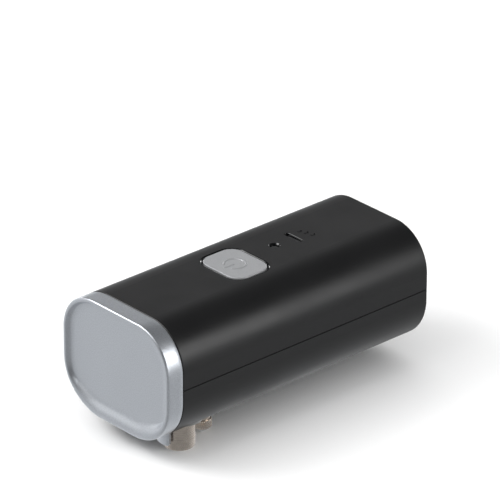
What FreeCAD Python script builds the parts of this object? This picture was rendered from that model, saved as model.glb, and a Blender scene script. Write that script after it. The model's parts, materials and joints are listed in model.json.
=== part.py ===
import FreeCAD, Part
import math
import os

# Cordless one-touch can opener.  Millimetres.
# Sections are drawn with y = 0 at the joint between the silver nose cap and the black shells,
# z = 0 on the flat underside and x = 0 on the centre plane.  write() moves every piece to the
# part's own frame, whose origin is the bottom centre of the whole opener.
V = FreeCAD.Vector

# driving dimensions of the housing
BODY_WIDTH = 80.0
BODY_HEIGHT = 65.0
SHELL_LENGTH = 166.0
CAP_DEPTH = 10.0
TOP_RADIUS = 23.0
BOTTOM_RADIUS = 27.0
WALL = 2.2
SEAM_HEIGHT = 33.0
SEAM_GAP = 0.5
CAP_GAP = 0.3
CAP_EDGE = 1.1
CHIN_RADIUS = 2.5
RIM = 2.2
DISH_BOTTOM = 3.2
DISH_DEPTH = 2.2
WHEEL_DROP = 10.0
MOVING_GAP = 0.3

# push button, its bezel and the small windows behind it
BUTTON_SIZE = (30.6, 24.2)
BUTTON_CORNER = 7.5
BUTTON_Y = 69.7
BUTTON_PROUD = 0.3
BUTTON_GAP = 0.35
BEZEL_RIM = 1.5
BEZEL_BEVEL = 0.9
SYMBOL_RADIUS = 5.6
SYMBOL_LINE = 0.9
SYMBOL_HEIGHT = 0.25
LENS_DIAMETER = 5.0
LENS_BEVEL = 1.2
LENS_X = -2.1
LENS_Y = 98.4
SLOT_SIZE = (12.4, 2.6)
SLOT_X = -2.4
SLOT_Y = 111.6
MARKS = ((-6.0, 118.6), (-2.6, 120.1), (1.2, 121.2))
KEY_FOOT = 59.0
SPRING_SEAT = 63.2
SPRING_WIRE = 0.6
FLANGE = 1.3

# cutting head: drive wheel, cutting wheel and the eccentric that closes them on the rim
DRIVE_WHEEL_RADIUS = 5.0
DRIVE_WHEEL_TEETH = 30
DRIVE_WHEEL_NOTCH = 0.45
DRIVE_SHAFT_RADIUS = 2.5
CARRIER_SHAFT_RADIUS = 3.0
CUTTER_PIN_RADIUS = 2.5
CUTTING_WHEEL_RADIUS = 7.9
CUTTING_EDGE_RADIUS = 8.3
RIM_GAP_OPEN = 5.7
RIM_GAP_CLOSED = 1.5
DRIVE_X = 15.8
DRIVE_Y = 33.5
HEAD_LEAN = 11.0
MAGNET_RADIUS = 5.5
MAGNET_LOW = -4.0
HOLDER_RADIUS = 7.6
HOLDER_LOW = -3.0
HOLDER_TOP = 3.4

# gear train, from the drive shaft back to the motor
STUB = 0.8
PRESSURE_ANGLE = 25.0
BACKLASH = 0.16
OUTPUT_TEETH = 36
SLOW_MODULE = 1.0
SLOW_PINION_TEETH = 12
THIRD_TEETH = 36
THIRD_PINION_TEETH = 10
SECOND_TEETH = 40
SECOND_MODULE = 0.8
SECOND_PINION_TEETH = 10
FIRST_TEETH = 56
FIRST_MODULE = 0.6
MOTOR_PINION_TEETH = 10
CARRIER_TEETH = 28
CLUTCH_TEETH = 16
CLUTCH_MODULE = 0.75
AXLE_RADIUS = 1.5
RUNNING = 0.05
DRIVE_BUSH_RADIUS = 4.5
CARRIER_BUSH_RADIUS = 5.0

# motor and cells
MOTOR_RADIUS = 13.9
MOTOR_WALL = 1.2
MOTOR_SHAFT_RADIUS = 1.0
MOTOR_BOSS_RADIUS = 4.5
COMMUTATOR_RADIUS = 2.8
ARMATURE_RADIUS = 9.0
MOTOR_BASE = 5.0
MOTOR_TOP = 43.0
BRACKET = 1.2
MOTOR_Y = 90.0
CELL_RADIUS = 7.15
CELL_LENGTH = 49.0
CELL_NIPPLE = 1.3
CELL_PITCH = 14.6
CELL_Z = 14.6
CELL_START = 110.3
BAY_START = 105.5
BAY_END = 162.6
DOOR_START = 104.0
DOOR_HALF_WIDTH = 33.0

# levels of the gearbox plates
LOWER_PLATE_Z = 8.0
UPPER_PLATE_Z = 49.0
PLATE = 2.0
BOARD_Z = 54.0
BOARD = 1.6

FRAME_SHIFT = V(0, (CAP_DEPTH - SHELL_LENGTH) / 2, WHEEL_DROP)
TOP_INSIDE = BODY_HEIGHT - WALL
HEAD_OPEN = DRIVE_WHEEL_RADIUS + RIM_GAP_OPEN + CUTTING_WHEEL_RADIUS
HEAD_CLOSED = DRIVE_WHEEL_RADIUS + RIM_GAP_CLOSED + CUTTING_WHEEL_RADIUS
ECCENTRICITY = (HEAD_OPEN - HEAD_CLOSED) / 2
HEAD_X = math.sin(math.radians(HEAD_LEAN))
HEAD_Y = -math.cos(math.radians(HEAD_LEAN))
DRIVE = V(DRIVE_X, DRIVE_Y, 0)
CARRIER = DRIVE + V(HEAD_X, HEAD_Y, 0) * (HEAD_OPEN - ECCENTRICITY)
CUTTER = DRIVE + V(HEAD_X, HEAD_Y, 0) * HEAD_OPEN
CARRIER_WELL = ECCENTRICITY + CUTTING_EDGE_RADIUS + 0.7
THIRD_AXIS = DRIVE + V(-(OUTPUT_TEETH + SLOW_PINION_TEETH) * SLOW_MODULE / 2, 0, 0)
SECOND_LEAN = math.radians(26.3)
SECOND_REACH = (THIRD_TEETH + THIRD_PINION_TEETH) * SLOW_MODULE / 2
SECOND_AXIS = THIRD_AXIS + V(math.sin(SECOND_LEAN), math.cos(SECOND_LEAN), 0) * SECOND_REACH
MOTOR = V(0, MOTOR_Y, 0)
MAGNET = V(-4.0, 52.0, 0)
LENS = V(LENS_X, LENS_Y, 0)
SCREWS = [V(side * x, y, 0) for side in (-1, 1) for x, y in ((30.0, 5.0), (31.0, 99.0))]


def write(name, shape):
    """Moves a piece to the part's frame and saves it."""
    moved = shape.copy()
    moved.translate(FRAME_SHIFT)
    if not moved.isValid():
        print("not valid:", name)
    moved.exportStep(os.path.join("parts", name + ".step"))


def one_solid(shape):
    """The single solid of a cut or fused shape, with seams between like faces removed."""
    solids = shape.removeSplitter().Solids
    if len(solids) != 1:
        print("pieces:", len(solids), [round(s.Volume, 1) for s in solids])
    return max(solids, key=lambda solid: solid.Volume)


def box(x0, x1, y0, y1, z0, z1):
    return Part.makeBox(x1 - x0, y1 - y0, z1 - z0, V(x0, y0, z0))


def cylinder(centre, radius, z0, z1):
    return Part.makeCylinder(radius, z1 - z0, V(centre.x, centre.y, z0))


def tube(centre, outer, inner, z0, z1):
    return cylinder(centre, outer, z0, z1).cut(cylinder(centre, inner, z0, z1))


def outline(x0, x1, z0, z1, bottom_radius, top_radius, y):
    """Rounded outline in an upright plane, with its own radius at the top and at the bottom corners."""
    edges = []
    corners = (
        (x1, z0, -1, 1, bottom_radius, -90),
        (x1, z1, -1, -1, top_radius, 0),
        (x0, z1, 1, -1, top_radius, 90),
        (x0, z0, 1, 1, bottom_radius, 180),
    )
    last = None
    first = None
    for x, z, inward_x, inward_z, radius, start in corners:
        centre = V(x + inward_x * radius, y, z + inward_z * radius)
        points = []
        for turn in (0, 45, 90):
            angle = math.radians(start + turn)
            points.append(centre + V(math.cos(angle), 0, math.sin(angle)) * radius)
        if last is not None:
            edges.append(Part.LineSegment(last, points[0]).toShape())
        edges.append(Part.Arc(*points).toShape())
        last = points[2]
        first = first or points[0]
    edges.append(Part.LineSegment(last, first).toShape())
    return Part.Wire(edges)


def body_outline(inset, y):
    """The housing's cross section, drawn in by inset all round."""
    half = BODY_WIDTH / 2 - inset
    return outline(-half, half, inset, BODY_HEIGHT - inset, BOTTOM_RADIUS - inset, TOP_RADIUS - inset, y)


def body_prism(inset, y0, y1):
    return Part.Face(body_outline(inset, y0)).extrude(V(0, y1 - y0, 0))


def pad(width, length, corner, centre, z0, z1):
    """Upright block with rounded vertical corners."""
    x = width / 2
    y = length / 2
    block = box(centre.x - x, centre.x + x, centre.y - y, centre.y + y, z0, z1)
    upright = [e for e in block.Edges if abs(e.tangentAt(e.FirstParameter).z) > 0.99]
    return block.makeFillet(corner, upright)


def edges_at(shape, z, tolerance=0.01):
    """Edges that lie wholly at one height."""
    return [e for e in shape.Edges if max(abs(e.BoundBox.ZMin - z), abs(e.BoundBox.ZMax - z)) < tolerance]


def edges_across(shape, y, tolerance=0.01):
    """Edges that lie wholly in one upright plane across the body."""
    return [e for e in shape.Edges if max(abs(e.BoundBox.YMin - y), abs(e.BoundBox.YMax - y)) < tolerance]


def gear_face(centre, teeth, module, phase, z):
    """Stub-tooth involute outline: each flank is one arc through root, middle and tip points."""
    pitch = teeth * module / 2
    base = pitch * math.cos(math.radians(PRESSURE_ANGLE))
    root = pitch - 1.05 * module
    tip = pitch + STUB * module
    flat = math.tan(math.radians(PRESSURE_ANGLE)) - math.radians(PRESSURE_ANGLE)

    def half_angle(radius):
        pressure = math.acos(min(1.0, base / max(radius, base)))
        return math.pi / (2 * teeth) + flat - (math.tan(pressure) - pressure) - BACKLASH / 2 / pitch

    def at(radius, angle):
        return V(centre.x + radius * math.cos(angle), centre.y + radius * math.sin(angle), z)

    edges = []
    step = 2 * math.pi / teeth
    middle = (max(root, base) + tip) / 2
    for tooth in range(teeth):
        axis = phase + tooth * step
        rising = [at(r, axis - half_angle(r)) for r in (root, middle, tip)]
        falling = [at(r, axis + half_angle(r)) for r in (tip, middle, root)]
        following = at(root, axis + step - half_angle(root))
        edges.append(Part.Arc(*rising).toShape())
        edges.append(Part.Arc(rising[2], at(tip, axis), falling[0]).toShape())
        edges.append(Part.Arc(*falling).toShape())
        edges.append(Part.Arc(falling[2], at(root, axis + step / 2), following).toShape())
    return Part.Face(Part.Wire(edges))


def gear(centre, teeth, module, phase, z0, z1):
    return gear_face(centre, teeth, module, phase, z0).extrude(V(0, 0, z1 - z0))


def bored_gear(centre, teeth, module, phase, bore, z0, z1):
    return one_solid(gear(centre, teeth, module, phase, z0, z1).cut(cylinder(centre, bore, z0 - 1, z1 + 1)))


def meshed_phase(driver, driver_teeth, driver_phase, centre, teeth):
    """Angle of a gear's first tooth that puts a gap of it on a tooth of the gear it meets."""
    line = math.atan2(centre.y - driver.y, centre.x - driver.x)
    passed = (line - driver_phase) * driver_teeth / (2 * math.pi)
    return line + math.pi - (0.5 - passed) * 2 * math.pi / teeth


def compound(centre, wheel, wheel_z, pinion, pinion_z, bore):
    """Wheel and pinion in one piece.  Each is (teeth, module, phase)."""
    big = gear(centre, *wheel, *wheel_z)
    small = gear(centre, *pinion, *pinion_z)
    return one_solid(big.fuse(small).cut(cylinder(centre, bore, 0, BODY_HEIGHT)))


def coil(centre, radius, wire, z0, z1, turns):
    """Round-wire compression spring with its wire inside z0 and z1, swept along quarter-turn arcs."""
    rise = (z1 - z0 - wire) / (turns * 4)

    def on_helix(quarters):
        angle = math.pi / 2 * quarters
        return V(radius * math.cos(angle), radius * math.sin(angle), rise * quarters)

    arcs = []
    for quarter in range(turns * 4):
        arcs.append(Part.Arc(*[on_helix(quarter + share) for share in (0, 0.5, 1)]).toShape())
    along = V(0, 1, rise * 4 / (2 * math.pi * radius))
    ring = Part.Wire(Part.makeCircle(wire / 2, on_helix(0), along))
    spring = Part.Wire(arcs).makePipeShell([ring], True, False)
    spring.translate(V(centre.x, centre.y, z0 + wire / 2))
    return spring


def cross_screw(centre, head_radius, head, shank_radius, z_head, z_tip):
    """Pan-head screw driven upwards or downwards, with a cross recess in its head."""
    up = 1 if z_tip > z_head else -1
    seat = z_head + up * head
    disc = cylinder(centre, head_radius, min(z_head, seat), max(z_head, seat))
    shank = cylinder(centre, shank_radius, min(seat, z_tip), max(seat, z_tip))
    screw = disc.fuse(shank)
    arm = head_radius * 0.62
    deep = z_head + up * head * 0.55
    for half_x, half_y in ((arm, arm * 0.22), (arm * 0.22, arm)):
        recess = box(centre.x - half_x, centre.x + half_x, centre.y - half_y, centre.y + half_y,
                     min(z_head, deep) - 0.01, max(z_head, deep) + 0.01)
        screw = screw.cut(recess)
    return one_solid(screw)


def lead(points, radius):
    """Insulated wire along straight runs joined by arcs, as large as the runs allow."""
    edges = []
    last = points[0]
    for before, corner, after in zip(points, points[1:], points[2:]):
        back = (before - corner).normalize()
        ahead = (after - corner).normalize()
        turn = math.pi - back.getAngle(ahead)
        reach = 0.45 * min((before - corner).Length, (after - corner).Length)
        centre_way = (back + ahead).normalize()
        bend = reach / math.tan(turn / 2)
        middle = corner + centre_way * (math.hypot(reach, bend) - bend)
        start = corner + back * reach
        end = corner + ahead * reach
        edges.append(Part.LineSegment(last, start).toShape())
        edges.append(Part.Arc(start, middle, end).toShape())
        last = end
    edges.append(Part.LineSegment(last, points[-1]).toShape())
    path = Part.Wire(edges)
    ring = Part.Wire(Part.makeCircle(radius, points[0], points[1] - points[0]))
    return path.makePipeShell([ring], True, False)


# ---- housing -------------------------------------------------------------------------------

def full_shell():
    """Both shells before they are parted: section, rear edge radius, chamfered front edge, hollow."""
    outer = body_prism(0, 0, SHELL_LENGTH)
    outer = outer.makeFillet(1.3, edges_across(outer, SHELL_LENGTH))
    outer = outer.makeChamfer(0.4, edges_across(outer, 0))
    return outer.cut(body_prism(WALL, -1, SHELL_LENGTH - WALL))


def bezel_outline(grow, z0, z1):
    centre = V(0, BUTTON_Y, 0)
    width, length = (side + 2 * (BEZEL_RIM + grow) for side in BUTTON_SIZE)
    return pad(width, length, BUTTON_CORNER + BEZEL_RIM + grow, centre, z0, z1)


def slot_pill(grow, z0, z1):
    width, length = (side + 2 * grow for side in SLOT_SIZE)
    return pad(width, length, length / 2 - 0.01, V(SLOT_X, SLOT_Y, 0), z0, z1)


def top_marks():
    """Three short curved grooves behind the window slot."""
    marks = []
    for across, along in MARKS:
        centre = V(across, along, 0)
        ring = tube(centre, 1.5, 0.9, BODY_HEIGHT - 0.5, BODY_HEIGHT + 1)
        half = box(centre.x, centre.x + 2, centre.y - 2, centre.y + 2, BODY_HEIGHT - 1, BODY_HEIGHT + 2)
        marks.append(ring.common(half))
    return marks


def top_shell():
    shell = full_shell().common(box(-60, 60, -1, 200, SEAM_HEIGHT, 100))
    reveal = body_prism(-1, -1, 200).cut(body_prism(0.8, -2, 201))
    shell = shell.cut(reveal.common(box(-60, 60, -1, 200, SEAM_HEIGHT - 1, SEAM_HEIGHT + SEAM_GAP)))
    for centre in SCREWS:
        boss = cylinder(centre, 3.6, SEAM_HEIGHT, BODY_HEIGHT).common(body_prism(0.5, 0.5, SHELL_LENGTH - 1))
        shell = shell.fuse(boss)
        shell = shell.cut(cylinder(centre, 1.5, SEAM_HEIGHT - 1, SEAM_HEIGHT + 14))
    for x in (-19.0, 19.0):
        for y in (58.0, 114.0):
            post = cylinder(V(x, y, 0), 2.6, BOARD_Z + BOARD, TOP_INSIDE + 0.5)
            shell = shell.fuse(post)
    opening = bezel_outline(0, TOP_INSIDE - 2, BODY_HEIGHT + 1)
    lens = cylinder(LENS, LENS_DIAMETER / 2, TOP_INSIDE - 1, BODY_HEIGHT + 1)
    bevel_foot = LENS + V(0, 0, BODY_HEIGHT - LENS_BEVEL / 2)
    lens_bevel = Part.makeCone(LENS_DIAMETER / 2, LENS_DIAMETER / 2 + LENS_BEVEL, LENS_BEVEL, bevel_foot)
    slot = slot_pill(0, TOP_INSIDE - 1, BODY_HEIGHT + 1)
    slot_bevel = slot_pill(0.4, BODY_HEIGHT - 0.4, BODY_HEIGHT + 1)
    for cutter in [opening, lens, lens_bevel, slot, slot_bevel] + top_marks():
        shell = shell.cut(cutter)
    return one_solid(shell)


def door_blank(gap):
    """Skin and side tongues of the sliding battery door; gap opens it up to cut its seat."""
    start = DOOR_START + MOVING_GAP - gap
    half = DOOR_HALF_WIDTH - MOVING_GAP + gap
    end = SHELL_LENGTH + gap * 10
    outer = -1 if gap else 0
    skin = body_prism(outer, start, end).cut(body_prism(2.0 + gap, start - 1, end + 1))
    skin = skin.common(box(-half, half, start, end, -5, 30))
    tongue = body_prism(1.1 - gap, start, end).cut(body_prism(2.0 + gap, start - 1, end + 1))
    tongue = tongue.common(box(-half - 1.5, half + 1.5, start, end, -5, 30))
    return skin.fuse(tongue)


def bottom_shell():
    shell = full_shell().common(box(-60, 60, -1, 200, -1, SEAM_HEIGHT))
    for centre in SCREWS:
        boss = cylinder(centre, 4.4, 0, SEAM_HEIGHT).common(body_prism(0.5, 0.5, SHELL_LENGTH - 1))
        shell = shell.fuse(boss)
    collar = tube(MAGNET, 10.8, 9.2, 0.5, LOWER_PLATE_Z).common(body_prism(0.3, 1, SHELL_LENGTH - 1))
    well = tube(CARRIER, CARRIER_WELL + 1.6, CARRIER_WELL, 0, LOWER_PLATE_Z)
    well = well.common(body_prism(0.3, 1, SHELL_LENGTH))
    shell = shell.fuse(collar).fuse(well)
    for x in (-22.0, 22.0):
        post = cylinder(V(x, 64.0, 0), 4.0, 1.5, LOWER_PLATE_Z).common(body_prism(0.5, 0.5, SHELL_LENGTH - 1))
        shell = shell.fuse(post)
    cradle = tube(MOTOR, MOTOR_RADIUS + 1.5, MOTOR_RADIUS, 1.5, 16.0)
    shell = shell.fuse(cradle)
    cutters = [
        cylinder(MAGNET, 7.8, -1, 2.5),
        cylinder(MAGNET, 9.2, 1.6, LOWER_PLATE_Z + 1),
        cylinder(CARRIER, CARRIER_WELL, -1, LOWER_PLATE_Z + 1),
        cylinder(DRIVE, DRIVE_WHEEL_RADIUS + 1.5, -1, LOWER_PLATE_Z),
        door_blank(MOVING_GAP),
    ]
    for centre in SCREWS:
        cutters.append(cylinder(centre, 3.0, -1, 20.0))
        cutters.append(cylinder(centre, 1.5, 19.0, SEAM_HEIGHT + 1))
    for cutter in cutters:
        shell = shell.cut(cutter)
    return one_solid(shell)


def front_cap():
    """Silver nose cap: tight front rim, shallow dished face, wide radius under its lower edge."""
    front = -CAP_DEPTH
    half = BODY_WIDTH / 2
    outer = body_prism(0, front, -CAP_GAP)
    side_view = box(-half - 1, half + 1, front, CAP_DEPTH, 0, BODY_HEIGHT)
    chin = [e for e in edges_at(side_view, 0) if abs(e.BoundBox.YMax - front) < 0.01]
    outer = outer.makeFillet(CAP_EDGE, edges_across(outer, front))
    outer = outer.common(side_view.makeFillet(CHIN_RADIUS, chin))
    radii = (BOTTOM_RADIUS - RIM, TOP_RADIUS - RIM)
    mouth = outline(-half + RIM, half - RIM, DISH_BOTTOM, BODY_HEIGHT - RIM, *radii, front - 2)
    dish = Part.Face(mouth).extrude(V(0, DISH_DEPTH + 2, 0))
    cap = outer.cut(dish.makeFillet(DISH_DEPTH - 0.05, edges_across(dish, front + DISH_DEPTH)))
    cap = cap.cut(body_prism(WALL, front + 4.4, 1))
    lip = body_prism(WALL, front + 4.0, 0.5).cut(body_prism(WALL + 1.6, front + 4.2, 2))
    return one_solid(cap.fuse(lip))


def cutter_guard():
    """Bright curved guard that hangs in front of the cutting wheel, against the curved underside."""
    inner = CARRIER_WELL + 0.2
    wall = tube(CARRIER, inner + 1.8, inner, -6.5, 12)
    sweep = Part.makeCylinder(inner + 5, 30, V(CARRIER.x, CARRIER.y, -12), V(0, 0, 1), 105)
    sweep.rotate(CARRIER, V(0, 0, 1), -175)
    guard = wall.common(sweep).cut(body_prism(0, -1, SHELL_LENGTH))
    return max(guard.Solids, key=lambda solid: solid.Volume)


def power_symbol(z0, z1):
    """Raised power mark: an open ring and a bar, its bar towards the nose."""
    centre = V(0, BUTTON_Y, 0)
    ring = tube(centre, SYMBOL_RADIUS + SYMBOL_LINE / 2, SYMBOL_RADIUS - SYMBOL_LINE / 2, z0, z1)
    half_gap = SYMBOL_RADIUS * 0.35
    gap = box(-half_gap, half_gap, BUTTON_Y - SYMBOL_RADIUS * 2, BUTTON_Y, z0 - 1, z1 + 1)
    bar_centre = V(0, BUTTON_Y - SYMBOL_RADIUS * 0.75, 0)
    bar = pad(SYMBOL_LINE, SYMBOL_RADIUS, SYMBOL_LINE * 0.45, bar_centre, z0, z1)
    return [ring.cut(gap), bar]


def power_button():
    centre = V(0, BUTTON_Y, 0)
    top = BODY_HEIGHT + BUTTON_PROUD
    width, length = BUTTON_SIZE
    spread = 2 * FLANGE
    key = pad(width, length, BUTTON_CORNER, centre, KEY_FOOT, top)
    key = key.makeFillet(0.6, edges_at(key, top))
    flange = pad(width + spread, length + spread, BUTTON_CORNER + FLANGE, centre, KEY_FOOT, KEY_FOOT + 1.4)
    hollow = pad(width - 3.0, length - 3.0, BUTTON_CORNER - 1.5, centre, KEY_FOOT - 1, SPRING_SEAT)
    stem = cylinder(centre, 2.0, SPRING_SEAT - 1.6, SPRING_SEAT + 0.2)
    key = key.fuse(flange).cut(hollow).fuse(stem)
    for mark in power_symbol(top - 0.2, top + SYMBOL_HEIGHT):
        key = key.fuse(mark)
    return one_solid(key)


def button_bezel():
    centre = V(0, BUTTON_Y, 0)
    ring = bezel_outline(0, TOP_INSIDE - 2, BODY_HEIGHT)
    flange = bezel_outline(1.0, TOP_INSIDE - 2, TOP_INSIDE - 0.1)
    width, length = (side + 2 * BUTTON_GAP for side in BUTTON_SIZE)
    corner = BUTTON_CORNER + BUTTON_GAP
    hole = pad(width, length, corner, centre, 50, 70)
    flare = BEZEL_BEVEL + 1
    mouth = pad(width + 2 * flare, length + 2 * flare, corner + flare, centre, 0, BODY_HEIGHT + 1)
    mouth = mouth.makeChamfer(flare, edges_at(mouth, 0))
    mouth.translate(V(0, 0, BODY_HEIGHT - BEZEL_BEVEL))
    return one_solid(ring.fuse(flange).cut(hole).cut(mouth))


def indicator_lens():
    return cylinder(LENS, LENS_DIAMETER / 2, TOP_INSIDE - 0.8, BODY_HEIGHT - 0.9)


def window_strip():
    return slot_pill(0, TOP_INSIDE - 0.8, BODY_HEIGHT - 1.2)


def screw_plugs():
    """Plugs that close the four screw holes flush with the curved underside."""
    plugs = []
    skin = body_prism(0, 0, SHELL_LENGTH - 1).cut(body_prism(3.2, -1, SHELL_LENGTH))
    for centre in SCREWS:
        plugs.append(cylinder(centre, 2.9, -1, 14).common(skin).Solids[0])
    return Part.makeCompound(plugs)


def housing_screws():
    """Self-tapping screws that hold the two shells together from below."""
    screws = [cross_screw(centre, 2.8, 2.0, 1.5, 18.0, SEAM_HEIGHT + 12) for centre in SCREWS]
    return Part.makeCompound(screws)


# ---- battery bay ---------------------------------------------------------------------------

def battery_door():
    door = door_blank(0)
    end = body_prism(0, 0, SHELL_LENGTH)
    end = end.makeFillet(1.3, edges_across(end, SHELL_LENGTH))
    door = door.common(end)
    for rib in range(6):
        y = 146.0 + rib * 2.4
        door = door.cut(box(-9, 9, y, y + 1.1, -1, 0.6))
    return one_solid(door)


def battery_tray():
    """Moulded bay over the cells, open towards the door, with an end wall for each set of contacts."""
    block = box(-31.5, 31.5, BAY_START, BAY_END, 4.0, 24.5).common(body_prism(3.0, BAY_START, BAY_END))
    cavity = box(-30.0, 30.0, BAY_START + 1.4, BAY_END - 1.4, 0, 23.0)
    return one_solid(block.cut(cavity))


def cell_place(number):
    """Axis position of one cell and whether its positive end faces the rear."""
    return (number - 1.5) * CELL_PITCH, number % 2 == 0


def battery_cell(number):
    x, rearward = cell_place(number)
    start = CELL_START if rearward else CELL_START - 1.1
    along = V(0, 1, 0)
    can = Part.makeCylinder(CELL_RADIUS, CELL_LENGTH, V(x, start, CELL_Z), along)
    can = can.makeFillet(0.6, [e for e in can.Edges if e.BoundBox.YLength < 0.01])
    tip = start + CELL_LENGTH - 0.01 if rearward else start - CELL_NIPPLE
    nipple = Part.makeCylinder(2.7, CELL_NIPPLE + 0.01, V(x, tip, CELL_Z), along)
    return one_solid(can.fuse(nipple))


def contact_plates():
    """Nickel contact plates, one at each end of each cell."""
    plates = []
    for number in range(4):
        x = cell_place(number)[0]
        for y in (BAY_START + 1.4, BAY_END - 1.8):
            plates.append(box(x - 5.5, x + 5.5, y, y + 0.4, CELL_Z - 6, CELL_Z + 6))
    return Part.makeCompound(plates)


def contact_springs():
    """Coil springs at the negative ends of the cells."""
    springs = []
    for number in range(4):
        x, rearward = cell_place(number)
        if rearward:
            near = BAY_START + 1.8
            far = CELL_START
        else:
            near = CELL_START - 1.1 + CELL_LENGTH
            far = BAY_END - 1.8
        spring = coil(V(0, 0, 0), 3.0, SPRING_WIRE, 0.0, far - near, 3)
        spring.rotate(V(0, 0, 0), V(1, 0, 0), -90)
        spring.translate(V(x, near, CELL_Z))
        springs.append(spring)
    return Part.makeCompound(springs)


# ---- motor, board and wiring -----------------------------------------------------------------

def motor_case():
    """Drawn steel can, open at its base, with the bearing boss on its closed end."""
    case = cylinder(MOTOR, MOTOR_RADIUS, MOTOR_BASE, MOTOR_TOP)
    case = case.makeFillet(1.2, edges_at(case, MOTOR_TOP))
    case = case.fuse(cylinder(MOTOR, MOTOR_BOSS_RADIUS, MOTOR_TOP - 0.5, MOTOR_TOP + BRACKET))
    case = case.cut(cylinder(MOTOR, MOTOR_RADIUS - MOTOR_WALL, MOTOR_BASE - 1, MOTOR_TOP - MOTOR_WALL))
    return one_solid(case.cut(cylinder(MOTOR, MOTOR_SHAFT_RADIUS + RUNNING, MOTOR_BASE, MOTOR_TOP + 3)))


def motor_end_bell():
    """Moulded bell that closes the can's base and holds the rear bearing and the brushes."""
    bell = cylinder(MOTOR, MOTOR_RADIUS - MOTOR_WALL, MOTOR_BASE, MOTOR_BASE + 3.0)
    bell = bell.fuse(cylinder(MOTOR, 3.5, MOTOR_BASE, MOTOR_BASE + 5.0))
    return one_solid(bell.cut(cylinder(MOTOR, MOTOR_SHAFT_RADIUS + RUNNING, MOTOR_BASE + 1.5, MOTOR_TOP)))


def motor_magnets():
    """Two curved field magnets against the can's wall."""
    outer = MOTOR_RADIUS - MOTOR_WALL
    ring = tube(MOTOR, outer, ARMATURE_RADIUS + 0.6, MOTOR_BASE + 12, MOTOR_TOP - 4)
    arcs = []
    for side in (-1, 1):
        near = MOTOR_Y + side * 2.5
        far = MOTOR_Y + side * 20
        arcs.append(ring.common(box(-20, 20, min(near, far), max(near, far), 0, BODY_HEIGHT)))
    return Part.makeCompound(arcs)


def motor_armature():
    """Three-pole laminated core with its windings bulging from both ends."""
    low = MOTOR_BASE + 14
    high = MOTOR_TOP - 6
    core = cylinder(MOTOR, ARMATURE_RADIUS, low, high)
    for pole in range(3):
        slot = box(ARMATURE_RADIUS - 4, ARMATURE_RADIUS + 1, -0.8, 0.8, low - 1, high + 1)
        slot.rotate(V(0, 0, 0), V(0, 0, 1), 120 * pole)
        slot.translate(MOTOR)
        core = core.cut(slot)
    core = core.fuse(cylinder(MOTOR, ARMATURE_RADIUS - 2.5, low - 1.5, high + 1.5))
    return one_solid(core.cut(cylinder(MOTOR, MOTOR_SHAFT_RADIUS, 0, BODY_HEIGHT)))


def commutator():
    return tube(MOTOR, COMMUTATOR_RADIUS, MOTOR_SHAFT_RADIUS, MOTOR_BASE + 5.5, MOTOR_BASE + 12.0)


def motor_brushes():
    """Carbon brushes with their arms, one each side of the commutator."""
    level = MOTOR_BASE + 8.5
    near = COMMUTATOR_RADIUS + RUNNING
    far = 6.5
    brushes = []
    for turn in (0, 180):
        block = box(near, far, -1.2, 1.2, level - 1.5, level + 1.5)
        arm = box(far - 0.6, far + 0.6, -1.2, 1.2, MOTOR_BASE + 3, level + 1.5)
        brush = one_solid(block.fuse(arm))
        brush.rotate(V(0, 0, 0), V(0, 0, 1), turn)
        brush.translate(MOTOR)
        brushes.append(brush)
    return Part.makeCompound(brushes)


def motor_shaft():
    return cylinder(MOTOR, MOTOR_SHAFT_RADIUS, MOTOR_BASE + 1.6, UPPER_PLATE_Z - 0.4)


def motor_bracket():
    plate = pad(48.0, 27.0, 4.0, V(0, 91.5, 0), MOTOR_TOP, MOTOR_TOP + BRACKET)
    return one_solid(plate.cut(cylinder(MOTOR, MOTOR_BOSS_RADIUS + RUNNING, MOTOR_TOP - 1, MOTOR_TOP + 3)))


def circuit_board():
    return pad(46.0, 68.0, 3.0, V(0, 86.0, 0), BOARD_Z, BOARD_Z + BOARD)


def power_switch():
    top = BOARD_Z + BOARD
    body = box(-3.0, 3.0, BUTTON_Y - 3.0, BUTTON_Y + 3.0, top, top + 3.4)
    return one_solid(body.fuse(cylinder(V(0, BUTTON_Y, 0), 1.6, top + 3.3, top + 4.3)))


def board_parts():
    """Indicator lights, controller chip, capacitor and relay on the board."""
    top = BOARD_Z + BOARD
    parts = [box(LENS_X - 1.5, LENS_X + 1.5, LENS_Y - 1.0, LENS_Y + 1.0, top, top + 1.2)]
    for x in (SLOT_X - 3.6, SLOT_X, SLOT_X + 3.6):
        parts.append(box(x - 1.0, x + 1.0, SLOT_Y - 0.6, SLOT_Y + 0.6, top, top + 1.0))
    parts.append(box(-17.0, -9.0, 88.0, 96.0, top, top + 1.6))
    parts.append(cylinder(V(14, 92, 0), 3.0, top, top + 5.5))
    parts.append(box(-18.0, -8.0, 103.0, 110.0, top, top + 5.0))
    return Part.makeCompound(parts)


def motor_leads():
    """Two wires from the motor's base up to the board, clear of the train."""
    leads = []
    for side in (-1, 1):
        x = side * 6.0
        rise = [
            V(x, MOTOR_Y + 13.6, 18.0),
            V(x, MOTOR_Y + 14.0, 30.0),
            V(x, MOTOR_Y + 17.0, 40.0),
            V(x, MOTOR_Y + 17.0, BOARD_Z),
        ]
        leads.append(lead(rise, 0.8))
    return Part.makeCompound(leads)


def battery_leads():
    """Two wires from the cell contacts, over the bay, up to the board."""
    leads = []
    for side in (-1, 1):
        x = side * 20.0
        rise = [
            V(x, BAY_START + 8, 24.5),
            V(x, BAY_START + 8, 36.0),
            V(x, BAY_START + 4, 43.0),
            V(x, BAY_START + 4, BOARD_Z),
        ]
        leads.append(lead(rise, 0.9))
    return Part.makeCompound(leads)


# ---- gearbox -----------------------------------------------------------------------------------

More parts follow.
